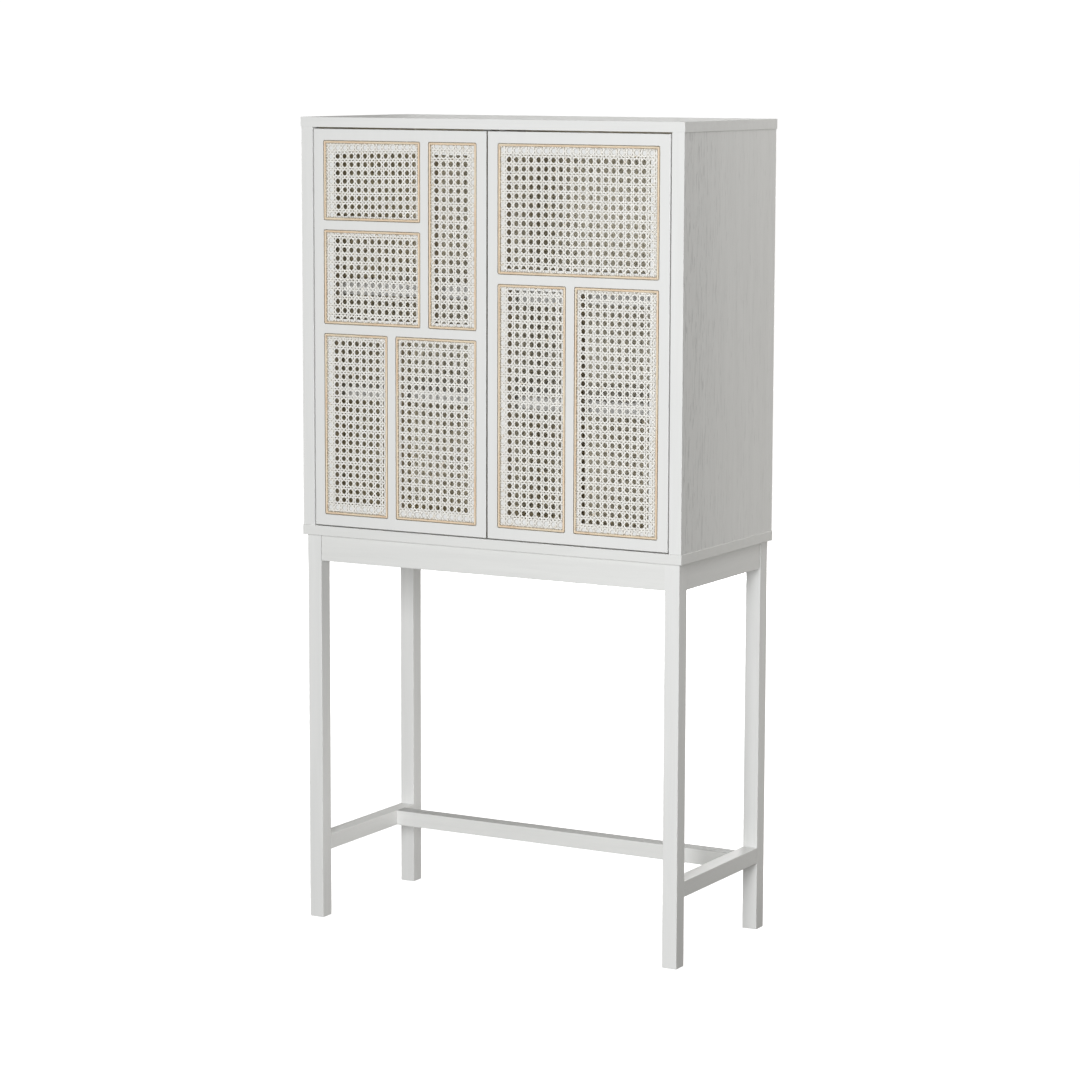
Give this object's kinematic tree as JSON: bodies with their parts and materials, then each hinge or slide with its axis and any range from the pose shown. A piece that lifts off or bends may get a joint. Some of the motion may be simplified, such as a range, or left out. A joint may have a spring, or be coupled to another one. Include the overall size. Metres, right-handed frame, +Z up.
{
  "type": "apothecary cabinet",
  "caption": "Cabinet on an open leg stand: white lacquered boards, inset push-to-open doors with woven cane windows in narrow natural beads, and shelves inside.",
  "frame": {"origin": "on the floor under the middle of the cabinet", "axes": "+Z up, doors face -Y, +X to the right when facing the doors"},
  "size_m": [0.65, 0.304, 1.235],
  "materials": {
    "white_lacquer": "satin white lacquer",
    "back_board": "matt white lacquer on thin board",
    "white_cane": "whitewashed woven cane",
    "natural_cane": "bare peeled cane bead",
    "nickel_plate": "nickel-plated steel",
    "latch_plastic": "matt white plastic"
  },
  "bodies": {
    "cabinet": {"top_panel": "white_lacquer", "bottom_panel": "white_lacquer", "side_panel_left": "white_lacquer", "side_panel_right": "white_lacquer", "back_panel": "back_board", "shelf_upper": "white_lacquer", "shelf_lower": "white_lacquer", "shelf_pin_upper_left_front": "nickel_plate", "shelf_pin_upper_left_back": "nickel_plate", "shelf_pin_upper_right_front": "nickel_plate", "shelf_pin_upper_right_back": "nickel_plate", "shelf_pin_lower_left_front": "nickel_plate", "shelf_pin_lower_left_back": "nickel_plate", "shelf_pin_lower_right_front": "nickel_plate", "shelf_pin_lower_right_back": "nickel_plate", "leg_front_left": "white_lacquer", "leg_front_right": "white_lacquer", "leg_back_left": "white_lacquer", "leg_back_right": "white_lacquer", "apron_front": "white_lacquer", "apron_back": "white_lacquer", "apron_left": "white_lacquer", "apron_right": "white_lacquer", "stretcher_left": "white_lacquer", "stretcher_right": "white_lacquer", "stretcher_long": "white_lacquer", "hinge_arm_left_lower": "nickel_plate", "hinge_arm_left_upper": "nickel_plate", "latch_body_left": "latch_plastic", "hinge_arm_right_lower": "nickel_plate", "hinge_arm_right_upper": "nickel_plate", "latch_body_right": "latch_plastic"},
    "left_door": {"door_frame_left": "white_lacquer", "cane_left_upper_outer": "white_cane", "bead_left_upper_outer": "natural_cane", "cane_left_upper_inner": "white_cane", "bead_left_upper_inner": "natural_cane", "cane_left_middle_outer": "white_cane", "bead_left_middle_outer": "natural_cane", "cane_left_lower_outer": "white_cane", "bead_left_lower_outer": "natural_cane", "cane_left_lower_inner": "white_cane", "bead_left_lower_inner": "natural_cane", "hinge_cup_left_lower": "nickel_plate", "hinge_cup_left_upper": "nickel_plate", "strike_plate_left": "nickel_plate"},
    "right_door": {"door_frame_right": "white_lacquer", "cane_right_upper_wide": "white_cane", "bead_right_upper_wide": "natural_cane", "cane_right_lower_inner": "white_cane", "bead_right_lower_inner": "natural_cane", "cane_right_lower_outer": "white_cane", "bead_right_lower_outer": "natural_cane", "hinge_cup_right_lower": "nickel_plate", "hinge_cup_right_upper": "nickel_plate", "strike_plate_right": "nickel_plate"},
    "left_plunger": {"latch_plunger_left": "latch_plastic"},
    "right_plunger": {"latch_plunger_right": "latch_plastic"}
  },
  "joints": [
    {"name": "left_door_hinge", "type": "hinge", "parent": "cabinet", "child": "left_door", "pos_m": [-0.302, -0.151, 0.917], "axis": [0, 0, -1], "range_deg": [0, 95]},
    {"name": "right_door_hinge", "type": "hinge", "parent": "cabinet", "child": "right_door", "pos_m": [0.302, -0.151, 0.917], "axis": [0, 0, 1], "range_deg": [0, 95]},
    {"name": "left_plunger_slide", "type": "slide", "parent": "cabinet", "child": "left_plunger", "axis": [0, -1, 0], "range_m": [0, 0.0125]},
    {"name": "right_plunger_slide", "type": "slide", "parent": "cabinet", "child": "right_plunger", "axis": [0, -1, 0], "range_m": [0, 0.0125]}
  ],
  "couplings": [
    {"joint": "left_plunger_slide", "follows": "left_door_hinge", "m_per_rad": 0.00724},
    {"joint": "right_plunger_slide", "follows": "right_door_hinge", "m_per_rad": 0.00724}
  ]
}
